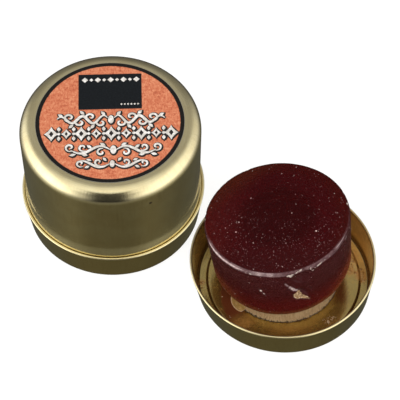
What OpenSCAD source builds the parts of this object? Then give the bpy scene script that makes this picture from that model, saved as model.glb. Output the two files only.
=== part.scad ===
// Bow rosin in round pressed tins.
// Two identical tins stand side by side: one is open, with its rosin cake
// sitting in the shallow base tray, the other is closed by its deep lid.
// Units are millimetres. +Z is up, the table is Z = 0 and the origin is the
// point on the table midway between the two tins. The front is -Y; the open
// tin stands front right and the closed tin back left.

/* [Layout] */
// X distance between the axes of the two tins
pitch_x = 46; // [45:1:70]
// Y distance between the axes of the two tins
pitch_y = 24.6; // [24:0.2:40]

/* [Base tray] */
// Radius over the rolled rim of the base tray
tray_r = 25; // [24.8:0.05:25.2]
// Height of the base tray to the top of the rolled rim
tray_h = 10.35; // [9.8:0.05:11]
// Radius of the rolled rim bead
bead_r = 0.33; // [0.28:0.01:0.36]
// Radius of the wall at the foot of the tray
foot_r = 23.65; // [23.4:0.05:23.8]
// Radius of the raised centre panel
panel_r = 20.85; // [18:0.05:21]
// Height the centre panel is raised above the foot ring
panel_up = 0.6; // [0.3:0.05:1]
// Thickness of the lacquered sheet
sheet = 0.35; // [0.3:0.01:0.4]

/* [Lid] */
// Height of the closed tin to the flat top of the lid
lid_top = 38.55; // [36:0.05:42]
// Radius of the lid where the shoulder ends
lid_r = 24.1; // [24:0.01:24.2]
// Radius of the lid at its waist above the rim
waist_r = 23.8; // [23.6:0.01:23.85]
// Radius of the flare that fills the rim
skirt_r = 24.2; // [24:0.01:24.24]
// Rounding of the lid's shoulder
shoulder_r = 3.9; // [2.5:0.1:5]
// Height of the lid's lower edge inside the tray
skirt_z = 6.5; // [6:0.1:7]

/* [Label] */
// Radius of the round paper label
label_r = 19.8; // [15:0.05:20]
// Thickness of the paper label
label_t = 0.12; // [0.08:0.01:0.3]

/* [Rosin cake] */
// Largest radius of the cake, at its top edge
cake_r = 19.35; // [18.8:0.05:20]
// Radius of the cake low down, where it turns in
cake_low_r = 18.65; // [17.5:0.05:18.8]
// Radius of the flat the cake stands on
cake_foot_r = 15.15; // [14:0.05:16]
// Height of the cake
cake_h = 20.75; // [16:0.05:24]
// Height over which the cake turns in at its foot
cake_turn = 6; // [3:0.1:8]
// Rounding of the cake's top edge
cake_edge = 0.9; // [0.4:0.1:1.5]
// Lean of the open cake towards the closed tin, in degrees
lean_left = 6.4; // [0:0.1:6.5]
// Lean of the open cake away from the front, in degrees
lean_back = 5.3; // [0:0.1:5.5]

/* [Backing pad] */
// Radius of the cloth pad under the cake
pad_r = 15.4; // [13:0.1:16]
// Thickness of the cloth pad at its middle
pad_t = 4.3; // [3.5:0.05:5]

/* [Hidden] */
$fn = 128;

tray_color = "#9a7a35";
lid_color = "#8b7a45";
label_color = "#dd7b55";
rosin_color = "#4b0d10";
cloth_color = "#9a7a55";

closed_at = [-pitch_x / 2, pitch_y / 2, 0];
open_at = -closed_at;

gap = 0.02;         // clearance that keeps touching pieces apart
flat_step = 0.02;   // short level step that keeps flat stretches of sheet truly flat
half_sheet = sheet / 2;

// Tray; bends, wall_foot_r and wall_top are on the sheet's centre line
panel_bend = 0.3;   // radius of both bends at the panel's edge
panel_inset = 0.5;  // upper bend's centre, inside panel_r
panel_outset = 0.25; // lower bend's centre, outside panel_r
foot_bend = 0.8;    // bend radius at the foot of the wall
bead_offset = 0.01; // wall top, inside the bead's centre
wall_foot_r = foot_r - half_sheet;
wall_top = [tray_r - bead_r - bead_offset, tray_h - 2 * bead_r];
wall_lean = atan2(wall_top[0] - wall_foot_r, wall_top[1] - half_sheet - foot_bend);

// Lid
// Side below the shoulder: [outer radius, height above the tray's rim]
lid_side = [[waist_r, 3.6], [waist_r + 0.02, 2.8], [waist_r + 0.08, 1.9],
            [skirt_r - 0.05, 0.9], [skirt_r, 0]];
skirt_gap = 0.1;    // between the lid's lower edge and the tray's wall
curl_r = 0.3;       // outer radius of the curled lower edge
curl_start = 0.8;   // height above skirt_z where the side's sheet ends
edge_r = wall_in(skirt_z) - skirt_gap;

// Cake and pad
pad_z = panel_up + sheet + gap;
cake_z = pad_z + pad_t + gap;             // underside of the cake at its axis
open_cake_shift = [0.4, 0.85, 0];         // open cake, off its tray's axis
open_pad_shift = [0.1, 1, 0];             // open cake's pad, off its tray's axis
open_lean = [-lean_back, -lean_left, 0];
pad_spare = 4;                            // extra pad height before it is cut
cutter = [60, 60, 20];                    // block that cuts the pad's top

// Points on an arc, from angle start to end in the given number of steps
function arc(centre, radius, start, end, steps) =
    [for (i = [0:steps])
        let (a = start + (end - start) * i / steps)
        centre + radius * [cos(a), sin(a)]];

function unit(v) = v / norm(v);

// Unit normal of the path at point i: left of its direction, straight up at the axis
function normal(path, i) =
    i == 0 ? [0, 1] :
    let (
        before = unit(path[i] - path[i - 1]),
        along = i == len(path) - 1 ? before : before + unit(path[i + 1] - path[i])
    )
    unit([-along[1], along[0]]);

// Closed outline of the sheet that follows the centre line path and ends in
// the curl, a list of points that joins the sheet's two faces
function sheet_outline(path, curl) =
    let (last = len(path) - 1)
    concat(
        [for (i = [0:last]) path[i] + normal(path, i) * half_sheet],
        curl,
        [for (i = [last:-1:0]) path[i] - normal(path, i) * half_sheet]);

// Centre line of the tray's sheet, from the axis out and up to the bead
function tray_path() =
    let (
        panel_z = panel_up + half_sheet,
        upper_r = panel_r - panel_inset,
        lower_r = panel_r + panel_outset,
        foot_bend_r = wall_foot_r - foot_bend
    )
    concat(
        [[0, panel_z], [upper_r - flat_step, panel_z]],
        arc([upper_r, panel_z - panel_bend], panel_bend, 90, 45, 3),
        arc([lower_r, half_sheet + panel_bend], panel_bend, 225, 270, 3),
        [[lower_r + flat_step, half_sheet], [foot_bend_r - flat_step, half_sheet]],
        arc([foot_bend_r, half_sheet + foot_bend], foot_bend, 270, 360 - wall_lean, 10),
        [wall_top]);

// The rim: the sheet rolled into a bead
function tray_bead() =
    let (a = acos(half_sheet / bead_r))
    arc([tray_r - bead_r, tray_h - bead_r], bead_r, 180 + a, -a, 16);

// Radius of the inner face of the tray's wall at height z
function wall_in(z) =
    wall_top[0] - (wall_top[1] - z) * tan(wall_lean) - half_sheet / cos(wall_lean);

// Centre line of the lid's sheet, from the axis over the shoulder and down.
// The side draws in slightly to a waist, flares to fill the tray's rim and
// then draws in again beside the tray's wall, so that it plugs into the tray.
function lid_path() =
    let (shoulder_at = [lid_r - shoulder_r, lid_top - shoulder_r])
    concat(
        [[0, lid_top - half_sheet], [shoulder_at[0] - flat_step, lid_top - half_sheet]],
        arc(shoulder_at, shoulder_r - half_sheet, 90, 0, 14),
        [for (s = lid_side) [s[0] - half_sheet, tray_h + s[1]]],
        [[edge_r - half_sheet, skirt_z + curl_start]]);

// The lower edge, curled inwards so that it is safe to handle
function lid_curl() = arc([edge_r - curl_r, skirt_z + curl_r], curl_r, 0, -250, 14);

module tray() {
    rotate_extrude() polygon(sheet_outline(tray_path(), tray_bead()));
}

// Puts its children at a height, shifted and leaning
module pose(z, shift, lean) {
    translate(shift + [0, 0, z]) rotate(lean) children();
}

// A poured cake: slightly wider at the top, turned in at its foot
module cake(shift = [0, 0, 0], lean = [0, 0, 0]) {
    turn_w = cake_low_r - cake_foot_r;
    pose(cake_z, shift, lean)
        rotate_extrude()
            polygon(concat(
                [[0, 0]],
                [for (a = [90:-10:0])
                    [cake_foot_r + turn_w * cos(a), cake_turn * (1 - sin(a))]],
                arc([cake_r - cake_edge, cake_h - cake_edge], cake_edge, 0, 90, 6),
                [[0, cake_h]]));
}

// Cloth pad, its top cut parallel to the underside of the cake on it
module pad(shift = [0, 0, 0], cake_shift = [0, 0, 0], lean = [0, 0, 0]) {
    difference() {
        translate(shift + [0, 0, pad_z]) cylinder(r = pad_r, h = pad_t + pad_spare);
        pose(cake_z - gap, cake_shift, lean)
            translate([-cutter[0] / 2, -cutter[1] / 2, 0]) cube(cutter);
    }
}

module open_tray() {
    color(tray_color) translate(open_at) tray();
}

module rosin_cake() {
    color(rosin_color) translate(open_at) cake(open_cake_shift, open_lean);
}

module cake_backing_pad() {
    color(cloth_color) translate(open_at) pad(open_pad_shift, open_cake_shift, open_lean);
}

module closed_tray() {
    color(tray_color) translate(closed_at) tray();
}

module lid() {
    color(lid_color) translate(closed_at)
        rotate_extrude() polygon(sheet_outline(lid_path(), lid_curl()));
}

module lid_label() {
    color(label_color) translate(closed_at + [0, 0, lid_top]) cylinder(r = label_r, h = label_t);
}

module stored_cake() {
    color(rosin_color) translate(closed_at) cake();
}

module stored_backing_pad() {
    color(cloth_color) translate(closed_at) pad();
}

open_tray();
rosin_cake();
cake_backing_pad();
closed_tray();
lid();
lid_label();
stored_cake();
stored_backing_pad();
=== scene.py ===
# Two round tins of violin rosin in gold-lacquered tinplate. One is closed, with a
# printed label on its lid. The other is an open tray in which a cast rosin cake
# leans on its cloth backing pad. Both stand on z = 0; -y is the front, +x the right.
import bpy, bmesh, math, random
import numpy as np
from mathutils import Vector, Matrix, noise


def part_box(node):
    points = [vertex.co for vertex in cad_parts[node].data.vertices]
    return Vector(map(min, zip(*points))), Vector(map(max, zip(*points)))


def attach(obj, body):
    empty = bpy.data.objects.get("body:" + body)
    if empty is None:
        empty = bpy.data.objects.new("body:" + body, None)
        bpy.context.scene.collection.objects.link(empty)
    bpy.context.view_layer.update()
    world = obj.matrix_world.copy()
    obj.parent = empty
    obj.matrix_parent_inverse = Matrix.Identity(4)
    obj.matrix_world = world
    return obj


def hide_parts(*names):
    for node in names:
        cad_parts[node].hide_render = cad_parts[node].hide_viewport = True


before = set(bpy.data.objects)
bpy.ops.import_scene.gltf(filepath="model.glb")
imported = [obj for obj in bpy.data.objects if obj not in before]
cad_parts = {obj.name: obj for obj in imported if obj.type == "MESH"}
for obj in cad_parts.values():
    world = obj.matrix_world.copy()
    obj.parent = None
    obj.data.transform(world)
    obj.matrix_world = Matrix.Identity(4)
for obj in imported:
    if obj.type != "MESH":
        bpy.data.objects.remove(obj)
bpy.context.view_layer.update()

# ----------------------------------------------------------------------------
# Dimensions. Places are in metres; everything else is in mm.
# ----------------------------------------------------------------------------
MM = 0.001


def cad_piece(name):
    """Centre on the floor (m), then radius, foot, top and height (mm)."""
    low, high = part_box(name)
    centre = Vector(((low.x + high.x) / 2, (low.y + high.y) / 2, 0.0))
    return (centre, (high.x - low.x) / 2 / MM, low.z / MM, high.z / MM, (high.z - low.z) / MM)


OPEN_AT, TRAY_R, _, TRAY_H, _ = cad_piece("open_tray")
CLOSED_AT = cad_piece("closed_tray")[0]
_, LID_R, SKIRT_Z, LID_TOP, _ = cad_piece("lid")
_, LABEL_R, _, LABEL_TOP, _ = cad_piece("lid_label")
_, CAKE_R, CAKE_Z, _, CAKE_H = cad_piece("stored_cake")
_, PAD_R, PAD_Z, _, _ = cad_piece("stored_backing_pad")

# Tin, matching part.scad
SHEET = 0.35                  # thickness of the tinplate
HALF_SHEET = SHEET / 2
BEAD = 0.36                   # radius of the rolled rim
FOOT_R = 23.65                # outside of the wall at the floor
PANEL_R, PANEL_UP = 20.85, 0.6    # raised centre of the tray floor
PANEL_TOP = PANEL_UP + SHEET
BEND = 0.8                    # bend from floor to wall
WAIST_R, SKIRT_R = 23.8, 24.2     # lid above its flare, and at the tray rim
SHOULDER = 3.9                # rounding of the lid's top edge
FOOT_SHIFT = 0.5              # sideways set of the open tray's foot

# The sheet's centre line in the tray wall, from the floor to the rim
WALL_FOOT_R = FOOT_R - HALF_SHEET
BEND_Z = BEND + HALF_SHEET
RIM_R, RIM_Z = TRAY_R - BEAD - 0.01, TRAY_H - 2 * BEAD
WALL_LEAN = math.atan2(RIM_R - WALL_FOOT_R, RIM_Z - HALF_SHEET - BEND)

# Cake
CAKE_FOOT_R = 15.15           # flat underside
CAKE_LOW_R = 18.65            # top of the rounded foot
CAKE_TURN = 6.0               # height of the rounded foot
CAKE_EDGE = 0.9               # rounding of the top edge
EDGE_Z = CAKE_H - CAKE_EDGE
LEAN_LEFT, LEAN_BACK = math.radians(6.4), math.radians(5.3)
CAKE_SHIFT = Vector((0.4, 0.85, 0.0))
PAD_SHIFT = Vector((0.1, 1.0, 0.0))

# Black panel on the label
PANEL_X, PANEL_Y, PANEL_TURN = -0.2, 10.02, math.radians(1.7)


# ----------------------------------------------------------------------------
# Mesh helpers. A mesh is a pair: vertices in mm, faces.
# ----------------------------------------------------------------------------
def add_object(name, mesh, material, body, at, replaces=None, smooth=True,
               outward=True, attributes=None):
    data = bpy.data.meshes.new(name)
    data.from_pydata((np.asarray(mesh[0], dtype=float) * MM).tolist(), [], mesh[1])
    data.validate()
    if smooth:
        data.shade_smooth()
    obj = bpy.data.objects.new(name, data)
    bpy.context.scene.collection.objects.link(obj)
    if isinstance(at, Matrix):
        obj.matrix_world = at
    else:
        obj.location = at
    for key, values in (attributes or {}).items():
        layer = data.attributes.new(key, "FLOAT", "POINT")
        layer.data.foreach_set("value", values.astype(np.float32))
    if outward:
        edit = bmesh.new()
        edit.from_mesh(data)
        bmesh.ops.recalc_face_normals(edit, faces=edit.faces)
        edit.to_mesh(data)
        edit.free()
    data.materials.append(material)
    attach(obj, body)
    if replaces:
        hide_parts(replaces)


def add_part(mesh, part, offset=(0, 0, 0)):
    """Append part to mesh, moved by offset."""
    start = len(mesh[0])
    mesh[0].extend([tuple(a + b for a, b in zip(point, offset)) for point in part[0]])
    mesh[1].extend([tuple(start + i for i in face) for face in part[1]])


def arc(centre, radius, start, end, count):
    """Points on an arc between two angles in degrees."""
    angles = [math.radians(start + (end - start) * i / count) for i in range(count + 1)]
    return [(centre[0] + radius * math.cos(a), centre[1] + radius * math.sin(a))
            for a in angles]


def densify(path, step):
    """Split each stretch of path into pieces no longer than step."""
    dense = [path[0]]
    for (x0, y0), (x1, y1) in zip(path[:-1], path[1:]):
        count = max(1, int(math.ceil(math.hypot(x1 - x0, y1 - y0) / step)))
        for i in range(1, count + 1):
            dense.append((x0 + (x1 - x0) * i / count, y0 + (y1 - y0) * i / count))
    return dense


def offset_path(path, distance):
    """Shift a path that starts on the axis to its left by distance."""
    points = np.array(path)
    shifted = [tuple(points[0] + np.array((0.0, 1.0)) * distance)]
    for i in range(1, len(points)):
        along = points[i] - points[i - 1]
        along = along / np.linalg.norm(along)
        if i < len(points) - 1:
            onward = points[i + 1] - points[i]
            along = along + onward / np.linalg.norm(onward)
            along /= np.linalg.norm(along)
        shifted.append(tuple(points[i] + np.array((-along[1], along[0])) * distance))
    return shifted


def on_axis(station):
    return station[0] < 1e-7


def revolve(profile, segments):
    """Turn (radius, z) stations, from the axis back to the axis, into a solid."""
    angles = np.linspace(0, 2 * math.pi, segments, endpoint=False)
    cosines, sines = np.cos(angles), np.sin(angles)
    verts, rows, faces = [], [], []
    for radius, z in profile:
        start = len(verts)
        if on_axis((radius, z)):
            verts.append((0.0, 0.0, z))
        else:
            verts.extend(zip(radius * cosines, radius * sines, [z] * segments))
        rows.append(list(range(start, len(verts))))
    for one, two in zip(rows[:-1], rows[1:]):
        for j in range(segments):
            k = (j + 1) % segments
            if len(one) == 1:
                faces.append((one[0], two[j], two[k]))
            elif len(two) == 1:
                faces.append((one[j], two[0], one[k]))
            else:
                faces.append((one[j], two[j], two[k], one[k]))
    return np.array(verts), faces


def tube(path, radii, sides):
    """A closed tube along path, with a radius for each point."""
    verts, faces = [], []
    last = len(path) - 1
    for i, point in enumerate(path):
        along = (path[min(i + 1, last)] - path[max(i - 1, 0)]).normalized()
        across = along.cross(Vector((0, 0, 1)))
        if across.length < 1e-4:
            across = Vector((1, 0, 0))
        across.normalize()
        upward = along.cross(across).normalized()
        for k in range(sides):
            turn = 2 * math.pi * k / sides
            verts.append(tuple(point + (across * math.cos(turn) + upward * math.sin(turn))
                               * radii[i]))
    for i in range(last):
        one, two = i * sides, (i + 1) * sides
        for k in range(sides):
            after = (k + 1) % sides
            faces.append((one + k, one + after, two + after, two + k))
    faces.append(tuple(range(sides))[::-1])
    faces.append(tuple(last * sides + k for k in range(sides)))
    return verts, faces


def smoothstep(start, end, value):
    t = np.clip((value - start) / (end - start), 0, 1)
    return t * t * (3 - 2 * t)


# ----------------------------------------------------------------------------
# Node helpers. They add to the node tree that was started last.
# ----------------------------------------------------------------------------
tree = None


def start_tree(owner):
    global tree
    owner.use_nodes = True
    tree = owner.node_tree
    tree.nodes.clear()


def start_material(name):
    material = bpy.data.materials.new(name)
    start_tree(material)
    return material


class Signal:
    """An output of a node. Arithmetic on it adds math nodes; indexing picks
    another output of the same node."""

    def __init__(self, owner, output=0):
        self.owner, self.output = owner, output

    def __getitem__(self, output):
        return Signal(self.owner, output)

    @property
    def socket(self):
        return self.owner.outputs[self.output]

    def __add__(self, other):
        return calc("ADD", self, other)

    def __radd__(self, other):
        return calc("ADD", other, self)

    def __sub__(self, other):
        return calc("SUBTRACT", self, other)

    def __rsub__(self, other):
        return calc("SUBTRACT", other, self)

    def __mul__(self, other):
        return calc("MULTIPLY", self, other)

    def __truediv__(self, other):
        return calc("DIVIDE", self, other)

    def __lt__(self, other):
        return calc("LESS_THAN", self, other)

    def __gt__(self, other):
        return calc("GREATER_THAN", self, other)

    def __abs__(self):
        return calc("ABSOLUTE", self)


def fill(socket, value):
    """Link a signal to an input or set its value; colours may omit alpha."""
    if isinstance(value, Signal):
        tree.links.new(value.socket, socket)
    elif socket.type == "RGBA" and len(value) == 3:
        socket.default_value = (*value, 1.0)
    else:
        socket.default_value = value


def node(kind, *slots, **values):
    """A new node. Slots fill its first inputs (None skips one), capitalised
    keywords fill inputs by name, and the other keywords are node settings."""
    made = tree.nodes.new("ShaderNode" + kind)
    for key, value in values.items():
        if key[0].islower():
            setattr(made, key, value)
    for i, value in enumerate(slots):
        if value is not None:
            fill(made.inputs[i], value)
    for key, value in values.items():
        if key[0].isupper():
            fill(made.inputs[key.replace("_", " ")], value)
    return Signal(made)


def calc(operation, *inputs):
    first = inputs[0]
    vector = isinstance(first, Signal) and first.socket.type == "VECTOR"
    return node("VectorMath" if vector else "Math", *inputs, operation=operation)


def maximum(one, two):
    return calc("MAXIMUM", one, two)


def magnitude(vector):
    return calc("LENGTH", vector)[1]


def hypot(x, y):
    return calc("SQRT", x * x + y * y)


def angle_round(x, y):
    """Angle about z: 0 at the front, growing to the right."""
    return calc("ARCTAN2", x, y * -1.0)


def separate(vector):
    parts = node("SeparateXYZ", vector)
    return parts[0], parts[1], parts[2]


def combine(x, y, z):
    return node("CombineXYZ", x, y, z)


def mix(share, first, second, mode="MIX"):
    """Mix of two colours."""
    return node("Mix", share, *[None] * 5, first, second,
                data_type="RGBA", blend_type=mode)[2]


def mix_value(share, first, second):
    return node("Mix", share, None, first, second, data_type="FLOAT")


def ease(value, start, end, low=0.0, high=1.0):
    """Smooth change from low to high as value goes from start to end."""
    return node("MapRange", value, start, end, low, high, interpolation_type="SMOOTHSTEP")


def coords():
    """Object coordinates in mm."""
    return node("TexCoord")["Object"] * (1000.0, 1000.0, 1000.0)


def noise_value(vector, scale, detail=3.0, rough=0.6, distortion=0.0):
    return node("TexNoise", Vector=vector, Scale=scale, Detail=detail, Roughness=rough,
                Distortion=distortion)


def ramp(value, stops):
    """Colour ramp through (position, colour) stops."""
    made = node("ValToRGB", value)
    elements = made.owner.color_ramp.elements
    ends = (stops[0], stops[-1])
    for element, (position, colour) in zip(elements, ends):
        element.position, element.color = position, (*colour, 1)
    for position, colour in stops[1:-1]:
        elements.new(position).color = (*colour, 1)
    return made


def bump(height, strength, distance, normal=None):
    """Normal disturbed by height; distance is in metres."""
    extra = {} if normal is None else {"Normal": normal}
    return node("Bump", Strength=strength, Distance=distance, Height=height, **extra)


def srgb(code):
    """Hex colour code to a linear colour."""
    channels = [int(code[i:i + 2], 16) / 255 for i in (1, 3, 5)]
    return tuple(c / 12.92 if c <= 0.04045 else ((c + 0.055) / 1.055) ** 2.4
                 for c in channels)


def unseen_from(shader, centre):
    """The two tins do not mirror each other: a mirror ray that starts on the
    tin at centre passes straight through this surface."""
    tin_reach = 0.0254        # metres
    geometry, light_path = node("NewGeometry"), node("LightPath")
    length = light_path["Ray Length"]
    start = geometry["Position"] + geometry["Incoming"] * combine(length, length, length)
    near = magnitude((start - tuple(centre)) * (1.0, 1.0, 0.0)) < tin_reach
    near = maximum(near, light_path["Transparent Depth"] > 0.5)
    return node("MixShader", near * light_path["Is Glossy Ray"], shader,
                node("BsdfTransparent"))


# ----------------------------------------------------------------------------
# Tin materials
# ----------------------------------------------------------------------------
# Rosin smears on the tray floor: centre, inverse size (per mm), strength
SMEARS = (
    ((19.5, 6.6, 1.0), (0.50, 0.30, 0.15), 1.0),
    ((18.7, 2.6, 1.0), (0.60, 0.42, 0.2), 0.9),
    ((21.6, 0.9, 0.7), (0.50, 0.36, 0.2), 1.0),
    ((-11.0, -14.6, 1.0), (0.24, 0.34, 0.2), 0.80),
    ((3.0, -18.0, 1.0), (0.085, 0.34, 0.2), 0.34),
    ((-21.9, -1.3, 0.7), (0.62, 0.75, 0.3), 0.55),
    ((12.5, -14.2, 1.0), (0.40, 0.55, 0.3), 0.45),
)


def inside_tray(radius, z):
    """1 on the inner face of the tray, 0 on the outer."""
    wall = WALL_FOOT_R + (z - BEND_Z) * math.tan(WALL_LEAN)
    out = maximum(radius - (WALL_FOOT_R - BEND), 0.0)
    bend = BEND - hypot(out, BEND_Z - z)
    depth = mix_value(z < BEND_Z, wall - radius, bend)
    return ease(depth, -0.06, 0.06) * ease(z, 0.14, 0.22) * ease(z, 10.1, 9.7)


def smear_mask(point, warp):
    total = None
    for centre, scale, strength in SMEARS:
        reach = magnitude((point - centre) * scale) + (warp - 0.5) * 0.9
        mask = ease(reach, 1.15, 0.45) * strength
        total = mask if total is None else maximum(total, mask)
    return total


def painted_cake_reflection_mask(x, radius, turn, warp, left):
    """Painted reflection of the cake in the panel beside it, left and right; turn is the angle
    off the front.
    """
    edge = calc("MULTIPLY_ADD", turn, -5.0, 24.15) + (warp - 0.5) * 1.6
    edge = edge + ease(x, 0.0, -6.0, 0.0, 0.4)
    over = (radius - edge) * mix_value(left, 1.0, 1.7)
    sides = ease(turn - ease(x, -2.0, 2.0, 0.0, 0.34), 0.62, 0.86) * ease(turn, 1.78, 1.45)
    on_panel = ease(radius, 13.6, 15.8) * ease(radius, PANEL_R - 0.2, PANEL_R - 0.6)
    return sides * (ease(over, 1.3, -1.5) * on_panel)


def painted_step_shade_mask(radius, z, turn, inside, flat):
    """Painted shade where the sheet steps: round the panel and under the wall."""
    steps = maximum(ease(abs(radius - (PANEL_R - 0.12)), 0.40, 0.16),
                    ease(abs(radius - (FOOT_R - SHEET - 0.22)), 0.46, 0.20))
    steps = steps * (inside * ease(z, 1.5, 1.1)) * ease(turn, 0.42, 0.80, 0.12, 1.0)
    low_wall = (1.0 - flat) * (inside * ease(z, 3.2, 1.2))
    return maximum(steps, low_wall * ease(radius, 22.4, 22.9) * 0.85)


def used_inside_and_painted_light(point, x, y, z, radius, angle, cloud, flat, base, rough, normal):
    """The inside of the used tray, with painted light: walls warmer and brighter and flats
    darker, for light bounced round it, under a haze partly of rosin dust and partly a painted
    golden glow.
    Returns base, roughness, normal, and the share and colour of the haze."""
    inside = inside_tray(radius, z)
    # painted light: a warm, bright lacquer on the walls and a darker one on the flats
    warm = mix(ease(cloud, 0.35, 0.65), (0.88, 0.66, 0.28), (0.92, 0.72, 0.33))
    cool = mix(ease(cloud, 0.35, 0.65), (0.45, 0.35, 0.115), (0.50, 0.39, 0.13))
    # painted shade: darker at the right and the left of the inside
    worn = ease(x, 14.0, 20.5) * ease(y, 9.0, 3.0)
    warm = mix(worn * 0.80, warm, (0.34, 0.185, 0.058))
    warm = mix(ease(x, -15.0, -21.0) * 0.50, warm, (0.38, 0.22, 0.09))
    base = mix(inside, base, mix(flat, warm, cool))

    # amber film with soft dots in it
    warp = noise_value(point, scale=0.9, detail=4.0, rough=0.65)
    smears = smear_mask(point, warp)
    speck = ease(noise_value(point, scale=2.6, detail=2.0, rough=0.5), 0.46, 0.64)
    film = smears * (0.72 + speck * 0.28)
    base = mix(film, base, (0.62, 0.30, 0.09))

    turn = abs(angle)
    left = ease(x, 0.0, -6.0)
    # painted reflection: the cake's dark red side painted onto the panel left and right of it,
    # in the lacquer and in the haze
    red = painted_cake_reflection_mask(x, radius, turn, warp, left)
    red = red * (mix_value(left, 0.68, 0.95) + speck * mix_value(left, 0.30, 0.05))
    base = mix(red * 0.82, base, (0.29, 0.078, 0.030))

    # a painted pool of golden light toward the back right
    gold = ease(angle, 1.35, 1.75) * ease(x + y * -0.3, 7.0, 14.0)
    base = mix(gold * ease(y, 1.0, 6.0) * 0.75, base, (0.92, 0.62, 0.22))
    # painted shade: dark lines where the sheet steps, in the lacquer and in the haze
    painted_step_shade = painted_step_shade_mask(radius, z, turn, inside, flat)
    base = mix(painted_step_shade * 0.72, base, (0.13, 0.060, 0.016))

    # haze, partly rosin dust and partly painted golden light bounced round the tray, with more
    # where the floor turns up into the wall at the front
    dusty = noise_value(point, scale=0.55, detail=5.0, rough=0.7, distortion=0.6)
    dusty = ease(dusty, 0.42, 0.70)
    haze = inside * (mix_value(flat, 0.24, 0.15) + dusty * 0.12)
    front = ease(radius, 20.6, 22.0) * ease(y, -4.0, -17.0)
    haze = haze + inside * front * (0.22 + dusty * 0.22)
    haze = haze + gold * inside * 0.14
    share = maximum(maximum(haze, red * mix_value(left, 0.34, 0.44)), film * 0.6)
    rough = (rough + film * 0.16) * mix_value(inside * flat, 1.0, 0.45)
    normal = bump(film * speck, strength=0.25, distance=0.00010, normal=normal)
    colour = mix(front, (0.68, 0.38, 0.085), (0.84, 0.54, 0.14))
    colour = mix(gold, colour, (0.90, 0.50, 0.13))
    colour = mix(red, colour, (0.26, 0.062, 0.024))
    colour = mix(painted_step_shade, colour, (0.20, 0.095, 0.022))
    colour = mix(film, colour, (0.66, 0.31, 0.080))
    return base, rough, normal, share, colour


def tin_material(name, used=False):
    """Tinplate under a clear gold lacquer: drawn lines up the wall, fine spin
    lines on the flats, small pits and handling marks."""
    material = start_material(name)
    point = coords()
    x, y, z = separate(point)
    if used:                  # undo the sideways set of the foot
        x = x - calc("MULTIPLY_ADD", z, -FOOT_SHIFT / TRAY_H, FOOT_SHIFT)
    radius = hypot(x, y)
    angle = angle_round(x, y)
    unrolled = combine(angle * 24.0, radius, z)
    # drawn lines run long up the wall, spin lines long round the flats
    drawn = noise_value(unrolled * (1.0, 0.05, 0.07), scale=1.6, detail=5.0, rough=0.72)
    spin = noise_value(unrolled * (0.02, 1.0, 0.3), scale=6.0)
    cloud = noise_value(point, scale=0.16, detail=4.0)
    fine = noise_value(point, scale=2.2)
    flat = ease(abs(separate(node("NewGeometry")["Normal"])[2]), 0.75, 0.98)
    lines = mix_value(flat, drawn, spin)
    base = mix(ease(cloud, 0.35, 0.65), (0.775, 0.665, 0.37), (0.81, 0.715, 0.42))
    base = mix(ease(lines, 0.45, 0.7) * 0.22, base, (0.52, 0.40, 0.18))
    cells = node("TexVoronoi", Vector=point, Scale=0.42)
    pit = (cells["Distance"] < 0.045) * (separate(cells["Color"])[0] > 0.86)
    base = mix(pit * 0.6, base, (0.10, 0.07, 0.03))
    rough = 0.13 + cloud * 0.08 + fine * 0.04
    if not used:              # one small dark fleck on the side of the lid
        fleck = magnitude(point - (10.82, -21.37, 32.07)) + (fine - 0.5) * 0.5
        base = mix(ease(fleck, 0.60, 0.34) * 0.95, base, (0.085, 0.020, 0.016))
    # the lacquer on the rolled rim is painted paler, as a highlight along the bead, and is
    # duller
    rim = ease(radius, 24.22, 24.36) * ease(z, TRAY_H - 0.85, TRAY_H - 0.66)
    rim = rim * ease(z, TRAY_H + 0.3, TRAY_H + 0.1)
    base = mix(rim * 0.75, base, (0.93, 0.80, 0.44))
    rough = rough + rim * 0.14
    normal = bump(lines, strength=0.22, distance=0.00006)
    normal = bump(fine, strength=0.05, distance=0.00008, normal=normal)
    normal = bump(cloud, strength=0.25, distance=0.00020, normal=normal)
    if used:
        base, rough, normal, haze, haze_and_painted_light_colour = used_inside_and_painted_light(
            point, x, y, z, radius, angle, cloud, flat, base, rough, normal)
    shader = node("BsdfPrincipled", Base_Color=base, Metallic=1.0, Roughness=rough,
                  Normal=normal, Coat_Weight=0.8, Coat_Roughness=0.10)
    if used:
        shader = node("MixShader", haze, shader, node("BsdfDiffuse", Color=haze_and_painted_light_colour))
    node("OutputMaterial", unseen_from(shader, CLOSED_AT if used else OPEN_AT))
    return material


# ----------------------------------------------------------------------------
# Rosin materials
# ----------------------------------------------------------------------------
def rosin_colour(x, y, z, radius, is_top, cloud, mid, fine):
    """Colour of the cake's body, with painted light on the top, the lower side and the foot."""
    facing = node("LayerWeight", Blend=0.5)["Facing"]
    # painted light on the top: darker in the middle, a lighter ring where the pad shows through,
    # and lighter toward the left, front and back
    edge = radius + (cloud - 0.5) * 3.0
    top = mix(ease(edge, 8.0, 12.5), (0.037, 0.0031, 0.0034), (0.053, 0.0037, 0.0047))
    top = mix(ease(edge, 13.5, 19.0), top, (0.056, 0.0053, 0.0042))
    left = ease(x * -0.9 + y * 0.15, 4.0, 17.0)
    top = mix(left * 0.55, top, (0.094, 0.0090, 0.0082))
    top = mix(ease(y, -7.0, -16.0), top, (0.050, 0.0058, 0.0062))
    back = ease(x * -0.62 + y * 0.78, 11.5, 19.5)
    top = mix(back * 0.7, top, (0.080, 0.017, 0.007))
    side = mix(ease(z, 3.0, 12.0), (0.076, 0.0056, 0.0050), (0.041, 0.0036, 0.0040))
    # painted glow: the lower side turns amber where it turns away, as light shining through it
    low = ease(z, 12.0, 3.5) * ease(facing, 0.50, 0.86) * ease(z, 0.3, 3.2, 0.25, 1.0)
    side = mix(low * 0.75, side, (0.215, 0.052, 0.017))
    # painted highlight: lighter along the very foot
    side = mix(ease(z, 1.2, 0.2) * 0.5, side, (0.11, 0.018, 0.010))
    mottle = 0.62 + mid * 0.45 + fine * 0.35
    return mix(1.0, mix(is_top, side, top), combine(mottle, mottle, mottle), "MULTIPLY")


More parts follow.
